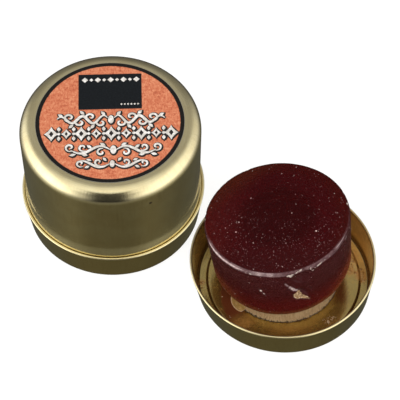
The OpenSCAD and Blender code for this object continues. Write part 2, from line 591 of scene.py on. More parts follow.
def dust_mask(point, y, z, is_top):
    """Specks of three sizes and a fine haze on the upper side."""
    specks = None
    # texture scale, speck radius, share of cells left empty
    for scale, size, empty in ((2.2, 0.15, 0.66), (1.2, 0.10, 0.74), (4.2, 0.22, 0.70)):
        cells = node("TexVoronoi", Vector=point, Scale=scale)
        pick, strength, _ = separate(cells["Color"])
        mask = ease(cells["Distance"], size, size * 0.5) * ((pick > empty) * strength)
        specks = mask if specks is None else maximum(specks, mask)
    front = ease(y, 12.0, -10.0, 0.25, 1.0)
    haze = ease(noise_value(point, scale=2.4, detail=5.0, rough=0.8), 0.50, 0.72)
    haze = haze * ease(z, 5.0, 18.0) * (1.0 - is_top)
    return maximum(specks * front * 0.62, haze * 0.15)


def powder_layer(point, y, z, is_top, mid, fine, normal):
    """Share and shader of the powdery surface: dust, the frosted rim with painted highlights on
    it and at the foot ("bloom"), bright nicks ("nick") and breaks ("wear"), the last three from
    the mesh."""
    bloom_and_highlight, nick, wear = (node("Attribute", attribute_name=key)["Fac"]
                         for key in ("bloom_and_highlight", "nick", "wear"))
    ragged = (noise_value(point, scale=2.0, detail=4.0, rough=0.7) - 0.5) * 0.9
    # where the mask is strongest, along the painted highlight lines, the frost turns pale
    bright = ease(bloom_and_highlight, 0.46, 0.82)
    bloom_and_highlight = ease(bloom_and_highlight + ragged * 0.45, 0.10, 0.90) * 0.92
    nick = ease(nick + ragged, 0.30, 0.62)
    wear = ease(wear + ragged, 0.28, 0.55)

    lilac = mix(ease(mid, 0.35, 0.65), (0.115, 0.056, 0.062), (0.215, 0.122, 0.126))
    lilac = mix(bright, lilac,
                mix(ease(fine, 0.40, 0.62), (0.46, 0.31, 0.30), (0.90, 0.74, 0.70)))
    dusty = mix(ease(fine, 0.35, 0.65), (0.17, 0.085, 0.10), (0.52, 0.36, 0.36))
    tan = ramp(noise_value(point, scale=2.6, detail=5.0, rough=0.75, distortion=0.5),
               [(0.40, (0.09, 0.040, 0.016)), (0.47, (0.34, 0.19, 0.075)),
                (0.54, (0.52, 0.33, 0.16)), (0.61, (0.96, 0.80, 0.58))])
    pale = ramp(noise_value(point, scale=2.6, detail=4.0, rough=0.7),
                [(0.32, (0.28, 0.19, 0.16)), (0.5, (0.62, 0.52, 0.44)),
                 (0.66, (0.92, 0.87, 0.78)), (0.8, (1.0, 0.98, 0.92))])
    colour = mix(ease(bloom_and_highlight, 0.02, 0.2), dusty, lilac)
    colour = mix(nick, mix(wear, colour, tan), pale)
    grain = noise_value(point, scale=1.9, detail=5.0, rough=0.7)
    shader = node("BsdfPrincipled", Base_Color=colour, Roughness=0.42,
                  Specular_IOR_Level=0.35,
                  Normal=bump(grain, strength=0.8, distance=0.0004, normal=normal))
    share = maximum(maximum(dust_mask(point, y, z, is_top), bloom_and_highlight), maximum(nick, wear))
    return share, shader


def rosin_material(name):
    """Cast rosin: a dark red body with some depth, a weak gloss, and powder."""
    material = start_material(name)
    point = coords()
    x, y, z = separate(point)
    radius = hypot(x, y)
    cloud = noise_value(point, scale=0.22, detail=4.0)
    mid = noise_value(point, scale=1.1)
    fine = noise_value(point, scale=3.4)
    is_top = ease(z, CAKE_H - 0.35, CAKE_H - 0.12)
    normal = bump(cloud, strength=0.30, distance=0.0004)
    normal = bump(fine, strength=0.12, distance=0.00008, normal=normal)
    colour = rosin_colour(x, y, z, radius, is_top, cloud, mid, fine)
    body = node("BsdfDiffuse", Color=colour, Normal=normal)
    depth = node("BsdfRefraction", Color=(1.0, 0.80, 0.74), Roughness=0.10, IOR=1.53,
                 Normal=normal)
    opaque = mix_value(is_top, mix_value(ease(z, 3.0, 14.0), 0.86, 0.78), 0.62)
    core = node("MixShader", opaque, depth, body)
    gloss = node("BsdfGlossy", Color=(1.0, 0.93, 0.96), Normal=normal,
                 Roughness=mix_value(is_top, 0.20 + mid * 0.15, 0.16))
    shine = node("Fresnel", IOR=1.53) * mix_value(is_top, 0.22, 0.10)
    wet = node("MixShader", shine, core, gloss)
    share, powder = powder_layer(point, y, z, is_top, mid, fine, normal)
    surface = node("MixShader", share, wet, powder)
    # only light that was bent into the body is dimmed by it
    volume = node("VolumeAbsorption", Color=(0.945, 0.60, 0.28),
                  Density=node("LightPath")["Is Transmission Ray"] * 900.0)
    node("OutputMaterial", unseen_from(surface, CLOSED_AT), volume)
    return material


def amber_material(name, dark, light, clear):
    """Clear dried rosin; clear is the share of light let through."""
    material = start_material(name)
    cloud = noise_value(coords(), scale=1.2, detail=4.0)
    shader = node("BsdfPrincipled", Base_Color=mix(ease(cloud, 0.35, 0.65), dark, light),
                  Transmission_Weight=clear, Roughness=0.12, IOR=1.5,
                  Normal=bump(cloud, strength=0.3, distance=0.0002))
    node("OutputMaterial", unseen_from(shader, CLOSED_AT))
    return material


def dust_material(name):
    """Loose splinters, each with its own tone."""
    material = start_material(name)
    point = coords()
    tone = node("NewGeometry")["Random Per Island"] \
        + (noise_value(point, scale=3.0, rough=0.55) - 0.5) * 0.5
    colour = ramp(tone, [(0.0, (0.09, 0.030, 0.034)), (0.40, (0.22, 0.095, 0.10)),
                         (0.78, (0.50, 0.30, 0.29)), (1.0, (0.95, 0.76, 0.70))])
    grain = noise_value(point, scale=5.0, rough=0.55)
    shader = node("BsdfPrincipled", Base_Color=colour, Roughness=0.5,
                  Normal=bump(grain, strength=0.5, distance=0.0001))
    node("OutputMaterial", unseen_from(shader, CLOSED_AT))
    return material


# ----------------------------------------------------------------------------
# Cloth, label and plain materials
# ----------------------------------------------------------------------------
def cloth_material(name, gain=1.0):
    """Tan felted cloth: short upright fibres, darker at the foot."""
    material = start_material(name)
    point = coords()
    x, y, z = separate(point)
    angle = angle_round(x, y)
    upright = combine(angle * 15.4, z * 0.16, 0.0)
    strands = noise_value(upright, scale=2.6, detail=5.0, rough=0.7, distortion=0.4)
    fine = noise_value(point, scale=3.5, detail=4.0, rough=0.7)
    patches = noise_value(point, scale=0.35, rough=0.5)
    felt = strands * 0.6 + fine * 0.4
    stops = ((0.30, (0.24, 0.14, 0.062)), (0.44, (0.62, 0.43, 0.22)),
             (0.56, (0.80, 0.60, 0.34)), (0.75, (0.90, 0.74, 0.50)))
    colour = ramp(felt, [(at, tuple(c * gain for c in shade)) for at, shade in stops])
    colour = mix(ease(patches, 0.45, 0.75) * 0.25, colour, (0.50, 0.31, 0.15))
    # the ragged foot of the cloth, dark with old glue and painted contact shadow
    tooth = noise_value(combine(angle * 15.4, 0.0, 0.0), scale=1.5, detail=4.0, rough=0.75)
    above = z - (PAD_Z + 0.06 + ease(tooth, 0.40, 0.74) * 1.05)
    colour = mix(ease(above, 0.10, -0.06), colour, (0.050, 0.021, 0.009))
    shader = node("BsdfPrincipled", Base_Color=colour, Roughness=0.85, Sheen_Weight=0.20,
                  Sheen_Roughness=0.4, Normal=bump(felt, strength=0.9, distance=0.0004))
    node("OutputMaterial", unseen_from(shader, CLOSED_AT))
    return material


def label_material(name):
    """Printed paper: mottled orange field, thin black border and black panel."""
    material = start_material(name)
    point = coords()
    x, y, _ = separate(point)
    wobble = (noise_value(point, scale=1.6) - 0.5) * 0.22
    radius = hypot(x, y)
    # paper: fine fibres over soft blotches
    fibres = noise_value(point * (1.0, 0.45, 1.0), scale=2.4, detail=5.0, rough=0.72,
                         distortion=0.6)
    blotches = noise_value(point * (0.5, 1.0, 1.0), scale=1.1, detail=4.0, rough=0.65,
                           distortion=0.8)
    paper = fibres * 0.62 + blotches * 0.38
    orange = ramp(paper, [(0.34, srgb("#9c4f37")), (0.45, srgb("#c46b4a")),
                          (0.52, srgb("#d07d5a")), (0.59, srgb("#dc8f69")),
                          (0.70, srgb("#ebad89"))])
    border_grain = noise_value(point, scale=3.0, detail=4.0, rough=0.7)
    black = mix(ease(border_grain, 0.35, 0.75), srgb("#0b0b0b"), srgb("#1f1b18"))
    border = ease(radius + wobble, 18.52, 18.72)
    # place along and across the panel, which is turned a little with the label
    cosine, sine = math.cos(PANEL_TURN), math.sin(PANEL_TURN)
    along = (x + -PANEL_X) * cosine + (y - PANEL_Y) * sine
    across = (y - PANEL_Y) * cosine - (x + -PANEL_X) * sine
    panel = ease(abs(along) + wobble * 0.5, 8.52, 8.36) \
        * ease(abs(across) + wobble * 0.5, 5.98, 5.82)
    panel_grain = noise_value(point, scale=2.2, detail=4.0, rough=0.7)
    panel_black = mix(ease(panel_grain, 0.4, 0.75), srgb("#0b0f13"), srgb("#171b1f"))
    colour = mix(border, mix(panel, orange, panel_black), black)
    cut_edge = ease(radius, LABEL_R - 0.14, LABEL_R - 0.02)
    colour = mix(cut_edge * 0.55, colour, srgb("#b9b4a2"))
    node("OutputMaterial", node(
        "BsdfPrincipled", Base_Color=colour, Specular_IOR_Level=0.22,
        Roughness=mix_value(maximum(border, panel), 0.62, 0.38),
        Normal=bump(paper, strength=0.35, distance=0.00006)))
    return material


def plain_material(name, first, second, scale=2.5):
    """Matt material mottled between two colours."""
    material = start_material(name)
    point = coords()
    mottle = noise_value(point, scale=scale, detail=4.0, rough=0.7)
    grain = noise_value(point, scale=4.0)
    node("OutputMaterial", node(
        "BsdfPrincipled", Base_Color=mix(ease(mottle, 0.4, 0.7), first, second),
        Roughness=0.5, Normal=bump(grain, strength=0.3, distance=0.00004)))
    return material


TIN = tin_material("gold_lacquered_tin")
TIN_USED = tin_material("gold_lacquered_tin_used", used=True)
ROSIN = rosin_material("cast_rosin")
AMBER = amber_material("rosin_drop", dark=(0.42, 0.18, 0.040), light=(0.80, 0.46, 0.14),
                       clear=0.28)
RUN = amber_material("rosin_run", dark=(0.62, 0.36, 0.11), light=(0.86, 0.58, 0.23),
                     clear=0.40)
CLOTH = cloth_material("felted_cloth")
FIBRE = cloth_material("felted_cloth_fibre", gain=1.05)
LABEL = label_material("label_print")
INK_WHITE = plain_material("ink_white", srgb("#cdc7be"), srgb("#fdfbf8"), scale=1.1)
INK_BLACK = plain_material("ink_black", srgb("#120e0c"), srgb("#231c19"))
CRUMB = plain_material("rosin_crumb", (0.46, 0.29, 0.15), (0.90, 0.75, 0.56), scale=1.5)
CHALK = plain_material("rosin_run_edge", (0.62, 0.38, 0.19), (0.92, 0.68, 0.44), scale=1.2)
GLUE_AND_FOOT_SHADE = plain_material("pad_glue_and_painted_shade", (0.030, 0.013, 0.006), (0.16, 0.070, 0.026), scale=2.0)


# ----------------------------------------------------------------------------
# Tins
# ----------------------------------------------------------------------------
def tray_profile():
    lean = math.degrees(WALL_LEAN)
    path = [(0, PANEL_UP + HALF_SHEET)]
    path += arc((PANEL_R - 0.5, PANEL_UP + HALF_SHEET - 0.3), 0.3, 90, 45, 5)
    path += arc((PANEL_R + 0.25, HALF_SHEET + 0.3), 0.3, 225, 270, 5)
    path += arc((WALL_FOOT_R - BEND, HALF_SHEET + BEND), BEND, 270, 360 - lean, 16)
    path += [(RIM_R, RIM_Z)]
    path = densify(path, 0.6)
    opening = math.degrees(math.acos(HALF_SHEET / BEAD))
    bead = arc((TRAY_R - BEAD, TRAY_H - BEAD), BEAD, 180 + opening, -opening, 28)
    return offset_path(path, HALF_SHEET) + bead + offset_path(path, -HALF_SHEET)[::-1]


def inner_wall_radius(z):
    return RIM_R - (RIM_Z - z) * math.tan(WALL_LEAN) - HALF_SHEET / math.cos(WALL_LEAN)


def lid_profile():
    skirt_r = inner_wall_radius(SKIRT_Z) - 0.1       # the skirt fits inside the tray
    waist_r, flare_h, flare_steps = WAIST_R - HALF_SHEET, 3.6, 14
    flare_top = TRAY_H + flare_h
    path = [(0, LID_TOP - HALF_SHEET)]
    path += arc((LID_R - SHOULDER, LID_TOP - SHOULDER), SHOULDER - HALF_SHEET, 90, 0, 30)
    path += [(waist_r, flare_top)]
    for i in range(1, flare_steps + 1):
        t = i / flare_steps
        path.append((waist_r + (SKIRT_R - WAIST_R) * (t * t * (3 - 2 * t)),
                     flare_top - flare_h * t))
    path += [(skirt_r - HALF_SHEET, SKIRT_Z + 0.8)]
    path = densify(path, 0.8)
    curl = arc((skirt_r - 0.3, SKIRT_Z + 0.3), 0.3, 0, -250, 22)
    return offset_path(path, HALF_SHEET) + curl + offset_path(path, -HALF_SHEET)[::-1]


def dent(verts, seed, depth):
    """Very slight unevenness, as pressed sheet has."""
    rng = random.Random(seed)
    phases = [rng.uniform(0, 2 * 3.14) for _ in range(8)]
    angle = np.arctan2(verts[:, 1], verts[:, 0])
    radius = np.hypot(verts[:, 0], verts[:, 1])
    wave = sum(math.cos(phases[k]) * np.cos((k + 2) * angle + phases[k]) / (k + 2)
               for k in range(5))
    out = depth * wave * smoothstep(8, 20, radius)
    dented = verts.copy()
    dented[:, 0] += np.cos(angle) * out
    dented[:, 1] += np.sin(angle) * out
    dented[:, 2] += (depth * 0.3 * np.cos(3 * angle + phases[6])
                     * smoothstep(12, 20, radius) * np.clip(verts[:, 2] / 8, 0, 1))
    return dented


def add_tin(name, profile, at, material, body, replaces, seed, depth=0.012, foot_shift=0.0):
    verts, faces = revolve(profile, 320)
    verts = dent(verts, seed, depth)
    verts[:, 0] += foot_shift * (1 - verts[:, 2] / TRAY_H)
    add_object(name, (verts, faces), material, body, at, replaces)


add_tin("open_tray_shell", tray_profile(), OPEN_AT, TIN_USED, "open_tin", "open_tray",
        seed=3, foot_shift=FOOT_SHIFT)
add_tin("closed_tray_shell", tray_profile(), CLOSED_AT, TIN, "closed_tin", "closed_tray",
        seed=4)
add_tin("lid_shell", lid_profile(), CLOSED_AT, TIN, "lid_assembly", "lid", seed=5,
        depth=0.010)


# ----------------------------------------------------------------------------
# Label
# ----------------------------------------------------------------------------
def add_label():
    foot = LID_TOP + 0.004
    path = [(0, LABEL_TOP), (LABEL_R - 0.05, LABEL_TOP)]
    path += arc((LABEL_R - 0.03, LABEL_TOP - 0.03), 0.03, 90, 0, 4)
    path += [(LABEL_R, foot), (0, foot)]
    flat, faces = revolve(densify(path, 0.6), 256)
    verts = flat.copy()
    middle = LID_TOP + (LABEL_TOP - LID_TOP) * 0.5
    for i in np.nonzero(flat[:, 2] > middle)[0]:
        x, y, _ = flat[i]
        verts[i, 2] += 0.010 * noise.noise(Vector((x * 0.12, y * 0.12, 3.0)))
    add_object("label_paper", (verts, faces), LABEL, "lid_assembly",
               CLOSED_AT, "lid_label")


add_label()

# Ornament: rows of scrolls, leaves, ovals and lozenges, in mm on the label
LOZENGE_X, LOZENGE_Y, LOZENGE_PITCH = 0.35, -3.85, 3.95
ORNAMENT_TURN = math.radians(1.2)


def ribbon(points, widths, bottom, top):
    """A flat closed band that follows points."""
    path = np.array(points, float)
    count = len(path)
    along = np.zeros_like(path)
    along[1:-1] = path[2:] - path[:-2]
    along[0], along[-1] = path[1] - path[0], path[-1] - path[-2]
    along /= np.maximum(np.linalg.norm(along, axis=1)[:, None], 1e-9)
    side = np.stack([-along[:, 1], along[:, 0]], -1) * (np.array(widths)[:, None] / 2)
    verts, faces = [], []
    for left, right in zip(path + side, path - side):
        verts += [(*left, top), (*right, top), (*right, bottom), (*left, bottom)]
    for k in range(count - 1):
        one, two = 4 * k, 4 * k + 4
        for i in range(4):
            j = (i + 1) % 4
            faces.append((one + i, one + j, two + j, two + i))
    faces.append((0, 3, 2, 1))
    end = 4 * (count - 1)
    faces.append((end, end + 1, end + 2, end + 3))
    return verts, faces


def prism(outline, bottom, top):
    count = len(outline)
    verts = [(x, y, top) for x, y in outline] + [(x, y, bottom) for x, y in outline]
    faces = [tuple(range(count)), tuple(range(2 * count - 1, count - 1, -1))]
    for i in range(count):
        j = (i + 1) % count
        faces.append((i, i + count, j + count, j))
    return verts, faces


def spiral(x, y, start_r, end_r, start_angle, turns, count):
    points = []
    for i in range(count + 1):
        radius = start_r + (end_r - start_r) * i / count
        angle = start_angle + turns * 2 * math.pi * i / count
        points.append((x + radius * math.cos(angle), y + radius * math.sin(angle)))
    return points


def stroke_widths(count, width):
    """Widths that swell from a quarter at the ends to full in the middle."""
    return [width * (0.25 + 0.75 * math.sin(math.pi * i / (count - 1)) ** 0.7)
            for i in range(count)]


def oval(x, y, half_x, half_y):
    angles = [2 * math.pi * k / 24 for k in range(24)]
    return [(x + half_x * math.cos(t), y + half_y * math.sin(t)) for t in angles]


def leaf(x, y, length, half_width, angle):
    side = [(length * i / 12, half_width * math.sin(math.pi * (i / 12)) ** 1.3)
            for i in range(13)]
    outline = side + [(px, -py) for px, py in side[11:0:-1]]
    return turned(outline, angle, x, y)


def diamond(x, y, half_x, half_y):
    return [(x - half_x, y), (x, y - half_y), (x + half_x, y), (x, y + half_y)]


def turned(points, angle, shift_x=0.0, shift_y=0.0):
    cosine, sine = math.cos(angle), math.sin(angle)
    return [(shift_x + x * cosine - y * sine, shift_y + x * sine + y * cosine)
            for x, y in points]


def lozenge_places():
    """(x, size) of the bold lozenges, every other one small."""
    return [(LOZENGE_X + i * LOZENGE_PITCH, 1.0 if i % 2 == 0 else 0.70)
            for i in range(-4, 5)]


def scroll_row(centre, vine, vine_width, curls, curl_points, curl_width, leaves, leaf_size,
               bud):
    """Strokes and shapes of a row mirrored about centre, with an oval bud there.
    curls are spiral() arguments; leaves are (x, y, angle)."""
    mid_x, mid_y = centre
    strokes, shapes = [], []
    lines = [(vine, vine_width)]
    lines += [(spiral(*curl, curl_points), curl_width) for curl in curls]
    for points, width in lines:
        for side in (1, -1):
            strokes.append(([(mid_x + side * x, mid_y + y) for x, y in points], width))
    for x, y, angle in leaves:
        outline = leaf(x, y, *leaf_size, angle)
        shapes.append([(mid_x + px, mid_y + py) for px, py in outline])
        shapes.append([(mid_x - px, mid_y + py) for px, py in outline][::-1])
    shapes.append(oval(mid_x, mid_y, *bud))
    return strokes, shapes


def lozenge_row():
    shapes = []
    for x, size in lozenge_places():
        outline = []
        for k in range(40):
            t = 2 * math.pi * k / 40
            reach = (abs(math.cos(t)) ** 0.8 + abs(math.sin(t)) ** 0.8) ** (-1 / 0.8)
            outline.append((x + 1.9 * size * reach * math.cos(t),
                            LOZENGE_Y + 2.35 * size * reach * math.sin(t)))
        shapes.append(outline)
    for i in range(-4, 4):
        x = LOZENGE_X + (i + 0.5) * LOZENGE_PITCH
        for side in (1, -1):
            shapes.append(leaf(x, LOZENGE_Y + side * 0.75, 1.55, 0.46, side * math.pi / 2))
        shapes.append(oval(x, LOZENGE_Y, 0.42, 0.42))
    return [], shapes


def ornament_rows():
    """All strokes (points, width) and closed shapes, from back to front."""
    vine = []
    for i in range(61):
        x = 13.4 * i / 60
        vine.append((0.9 + x, 1.35 * math.sin(2 * math.pi * x / 5.6 + 0.4)
                     * (1 - 0.3 * i / 60)))
    rows = [scroll_row(
        centre=(0.25, 0.75), vine=vine, vine_width=0.80, curl_points=34, curl_width=0.62,
        curls=[(x, side * 1.05 * (1 - 0.03 * x), 1.45, 0.30, side * -1.2, 0.95 * side)
               for x, side in ((2.6, -1), (5.4, 1), (8.2, -1), (11.0, 1))],
        leaves=((1.5, 1.3, 0.9), (4.3, -1.6, -0.9), (7.0, 1.6, 0.8), (9.9, -1.5, -0.8),
                (12.6, 0.9, 0.6)),
        leaf_size=(1.8, 0.44), bud=(0.75, 1.35))]
    rows.append(lozenge_row())
    vine = [(0.8 + 10.4 * i / 50, 1.25 * math.sin(math.pi * 2 * i / 50) * (1 - 0.2 * i / 50))
            for i in range(51)]
    rows.append(scroll_row(
        centre=(0.9, -9.2), vine=vine, vine_width=0.75, curl_points=34, curl_width=0.6,
        curls=((11.4, 0.9, 1.35, 0.25, -1.9, 1.05), (3.2, -0.75, 1.25, 0.25, 2.0, -0.95),
               (8.0, 0.8, 1.25, 0.25, -2.2, 0.95)),
        leaves=((2.0, 1.35, 0.5), (5.6, 0.45, 0.7), (9.8, -1.35, -0.2), (6.6, -1.7, 0.15)),
        leaf_size=(1.8, 0.42), bud=(0.8, 1.35)))
    vine = [(0.7 + 7.8 * i / 40, -1.05 * math.sin(math.pi * 1.6 * i / 40)) for i in range(41)]
    rows.append(scroll_row(
        centre=(0.6, -13.7), vine=vine, vine_width=0.70, curl_points=30, curl_width=0.56,
        curls=((8.3, 0.2, 1.2, 0.22, -2.2, 1.0), (3.6, 0.6, 1.15, 0.22, -2.0, 0.95)),
        leaves=((1.5, 0.85, 0.9), (5.9, -0.6, -0.5), (5.4, 1.0, 0.4)),
        leaf_size=(1.5, 0.38), bud=(0.65, 1.1)))
    return [line for row in rows for line in row[0]], [shape for row in rows for shape in row[1]]


INK_FOOT = LABEL_TOP - 0.012      # the ink is sunk a little into the paper


def ornament_mesh(grow, top, shift_x=0.0, shift_y=0.0):
    """All the ornament, widened by grow. Each part stands a hair above the one
    before, so that overlapping tops never coincide."""
    strokes, shapes = ornament_rows()
    mesh = ([], [])
    lift = 0.0
    for points, width in strokes:
        points = turned(points, ORNAMENT_TURN, shift_x, shift_y)
        widths = [w + grow * 2 for w in stroke_widths(len(points), width)]
        add_part(mesh, ribbon(points, widths, INK_FOOT, top + lift))
        lift += 0.00004
    for shape in shapes:
        outline = np.array(turned(shape, ORNAMENT_TURN, shift_x, shift_y))
        if grow:
            centre = outline.mean(0)
            spoke = outline - centre
            reach = np.maximum(np.linalg.norm(spoke, axis=1)[:, None], 0.25)
            outline = centre + spoke * (1 + grow * 1.25 / reach)
        add_part(mesh, prism([tuple(point) for point in outline], INK_FOOT, top + lift))
        lift += 0.00004
    return mesh


def prisms(outlines, top):
    mesh = ([], [])
    for outline in outlines:
        add_part(mesh, prism(outline, INK_FOOT, top))
    return mesh


def add_ornament():
    # a row of lozenges, alternately large and small, and a short row of small ones
    sizes = [0.86 * (1.0 if i % 2 == 0 else 0.62) for i in range(9)]
    marks = [diamond(-6.7 + i * 1.72, 4.0, size, size) for i, size in enumerate(sizes)]
    marks += [diamond(3.0 + i * 0.88, -4.3, 0.30, 0.32) for i in range(6)]
    marks = [turned(mark, PANEL_TURN, PANEL_X, PANEL_Y) for mark in marks]
    hearts = [turned(diamond(x, LOZENGE_Y, 0.62 * size, 0.95 * size), ORNAMENT_TURN)
              for x, size in lozenge_places()]
    for name, mesh, ink in (
            ("label_ornament_outline",
             ornament_mesh(0.34, LABEL_TOP + 0.012, 0.14, -0.18), INK_BLACK),
            ("label_ornament", ornament_mesh(0.0, LABEL_TOP + 0.026), INK_WHITE),
            ("label_panel_marks", prisms(marks, LABEL_TOP + 0.02), INK_WHITE),
            ("label_ornament_hearts", prisms(hearts, LABEL_TOP + 0.034), INK_BLACK)):
        add_object(name, mesh, ink, "lid_assembly", CLOSED_AT, smooth=False)


add_ornament()

# ----------------------------------------------------------------------------
# Rosin cakes. Marks on the side are placed by (degrees, z): degrees go from 0
# at the front to the right. Outlines are (arc length, height) in mm.
# ----------------------------------------------------------------------------
ARC_R = 19.1                  # radius at which arc length is measured

# Broken patch on the front, the hollow beside it and the knocked corner above
BREAK = [(4.5, 12.3), (4.0, 12.0), (3.5, 11.2), (3.0, 10.2), (3.4, 9.4), (4.0, 8.95),
         (4.7, 8.7), (5.6, 8.4), (6.6, 7.9), (7.7, 6.8), (6.7, 8.5), (5.9, 9.4),
         (5.4, 10.3), (5.1, 11.2), (4.9, 12.0)]
HOLLOW = [(4.6, 13.2), (6.2, 12.9), (7.4, 11.2), (7.6, 8.6), (7.0, 8.3), (5.4, 10.8)]
CORNER = [(3.4, 19.3), (4.6, 20.0), (7.6, 20.3), (9.0, 19.4), (8.4, 17.2), (6.2, 15.6),
          (4.0, 16.6)]

# Bright nicks, mostly along the rim: half width, strength, then (degrees, z) stations
NICKS = (
    (0.24, 1.0, (6.2, 19.6), (7.4, 19.9), (8.6, 19.7)),
    (0.22, 0.95, (7.6, 19.5), (8.9, 19.2), (10.2, 19.3)),
    (0.15, 0.9, (9.6, 20.0), (10.9, 19.9)), (0.13, 0.85, (13.4, 20.2), (15.3, 20.5)),
    (0.15, 1.0, (16.4, 20.5), (18.2, 20.6)), (0.17, 1.0, (25.4, 20.2), (25.6, 19.6)),
    (0.16, 0.95, (26.6, 19.0), (27.8, 18.9)), (0.14, 1.0, (28.9, 19.6), (29.5, 19.6)),
    (0.21, 1.0, (31.4, 19.8), (34.2, 20.1)), (0.12, 0.8, (35.0, 20.2), (35.8, 20.3)),
    (0.11, 0.7, (38.2, 20.2), (39.2, 20.3)), (0.11, 0.65, (43.6, 20.2), (44.6, 20.3)),
    (0.10, 0.55, (50.0, 20.3), (51.0, 20.3)), (0.15, 0.85, (-23.4, 20.1), (-22.4, 19.9)),
    (0.12, 0.7, (-26.9, 19.9), (-26.4, 19.9)), (0.12, 0.7, (-33.0, 20.0), (-32.2, 20.0)),
    (0.13, 0.75, (-41, 20.2), (-39.6, 20.2)), (0.30, 1.0, (-16.4, 13.3), (-16.1, 13.1)),
    (0.16, 0.75, (-14.4, 12.2), (-14.0, 11.9)), (0.11, 0.6, (-13.4, 11.4), (-13.0, 11.3)),
    (0.14, 0.6, (-25.4, 15.7), (-25.0, 15.5)), (0.12, 0.5, (-33, 12.4), (-32.6, 12.2)),
)


def cake_profile(step):
    path = [(0, 0), (CAKE_FOOT_R, 0)]
    for degrees in range(88, -1, -4):
        turn = math.radians(degrees)
        path.append((CAKE_FOOT_R + (CAKE_LOW_R - CAKE_FOOT_R) * math.cos(turn),
                     CAKE_TURN * (1 - math.sin(turn))))
    path += arc((CAKE_R - CAKE_EDGE, EDGE_Z), CAKE_EDGE, 0, 90, 9)
    return densify(path + [(0, CAKE_H)], step)


def segment_distance(points, start, end):
    start, end = np.array(start, float), np.array(end, float)
    span = end - start
    t = np.clip(((points - start) @ span) / max(span @ span, 1e-9), 0, 1)
    return np.linalg.norm(points - (start + t[:, None] * span), axis=1)


def outline_distance(points, outline):
    """Distance to a closed outline, negative inside."""
    outline = np.array(outline, float)
    distance = np.full(len(points), 1e9)
    inside = np.zeros(len(points), bool)
    for one, two in zip(outline, np.roll(outline, -1, axis=0)):
        distance = np.minimum(distance, segment_distance(points, one, two))
        crosses = (one[1] > points[:, 1]) != (two[1] > points[:, 1])
        with np.errstate(divide="ignore", invalid="ignore"):
            cross_x = (two[0] - one[0]) * (points[:, 1] - one[1]) / (two[1] - one[1]) + one[0]
        inside ^= crosses & (points[:, 0] < cross_x)
    return np.where(inside, -distance, distance)


def height_run(z):
    """Height, measured along the rounded top edge once past its start."""
    past = np.clip((z - EDGE_Z) / CAKE_EDGE, 0, 1)
    return np.where(z > EDGE_Z, EDGE_Z + CAKE_EDGE * np.arcsin(past), z)


class CakeSkin:
    """The cake's smooth surface and its marks: the masks "wear", "bloom" and
    "nick" that the rosin material reads, and "dig", a depth in mm."""

    def __init__(self, profile, segments):
        self.points, self.faces = revolve(profile, segments)
        x, y, self.z = self.points.T
        self.radius = np.hypot(x, y)
        along = np.gradient(np.array(profile), axis=0)
        slope = np.stack([along[:, 1], -along[:, 0]], -1)
        slope /= np.maximum(np.linalg.norm(slope, axis=1)[:, None], 1e-9)
        slope = np.repeat(slope, [1 if on_axis(p) else segments for p in profile], axis=0)
        turn = np.arctan2(y, x)
        self.normals = np.stack([np.cos(turn) * slope[:, 0], np.sin(turn) * slope[:, 0],
                                 slope[:, 1]], -1)
        angle = np.arctan2(x, -y)
        self.degrees = np.degrees(angle)
        self.run = height_run(self.z)
        self.unrolled = np.stack([ARC_R * angle, self.run], -1)
        self.outer = (self.radius > CAKE_FOOT_R) & (self.z < CAKE_H - 0.004)
        self.masks = {key: np.zeros(len(x)) for key in ("wear", "bloom_and_highlight", "nick", "dig")}

    def noise(self, scale, seed):
        return np.array([noise.noise(Vector((x * scale + seed, y * scale, z * scale)))
                         for x, y, z in self.points])

    def bell(self, values, centre, width):
        return np.exp(-((values - centre) / width) ** 2)

    def mark(self, key, values):
        self.masks[key] = np.maximum(self.masks[key], values)

    def stroke(self, key, stations, half_width, strength, depth=0.0, ragged=0.0):
        """A line through (degrees, z) stations, dug in by depth."""
        spots = [(ARC_R * math.radians(degrees), float(height_run(z)))
                 for degrees, z in stations]
        for one, two in zip(spots[:-1], spots[1:]):
            distance = segment_distance(self.unrolled, one, two) + ragged
            mask = smoothstep(half_width * 1.5, half_width * 0.4, distance) * self.outer
            self.mark(key, mask * strength)
            if depth:
                self.mark("dig", mask * depth)


def frost_and_highlight_edges(skin):
    """Pale bands at the rounded top edge and at the foot: frost, with painted highlights along
    them.
    """
    degrees, run = skin.degrees, skin.run
    # narrower and fainter away from the front
    fade = smoothstep(-62, -84, degrees) + smoothstep(52, 80, degrees)
    low = EDGE_Z - 0.02 + 0.55 * fade + 0.10 * skin.noise(0.35, 6.0)
    high = EDGE_Z + CAKE_EDGE * math.pi / 2 - 0.12 - 0.18 * fade
    band = (smoothstep(low - 0.16, low + 0.16, run) * smoothstep(high + 0.14, high - 0.14, run)
            * skin.outer)
    skin.mark("bloom_and_highlight", band * (0.50 - 0.30 * fade + 0.12 * skin.noise(0.5, 4.0)
                               + 0.10 * skin.bell(degrees, -12, 22)))
    # a painted highlight: a bright line along it on the left and a fainter one on the right
    line = (skin.bell(run, EDGE_Z + 0.60, 0.27) * skin.bell(degrees, -50, 25)
            + 0.6 * skin.bell(run, EDGE_Z + 0.75, 0.16) * skin.bell(degrees, 58, 16))
    skin.mark("bloom_and_highlight", line * (1.30 + 0.45 * skin.noise(0.9, 12.0)) * skin.outer)
    # a thin pale line where the foot meets the pad: frost, painted bright as an edge highlight
    foot = skin.bell(skin.z, 0.16, 0.13) * (skin.radius > CAKE_FOOT_R - 0.05)
    skin.mark("bloom_and_highlight", foot * (0.62 + 0.2 * skin.noise(0.6, 15.0)))


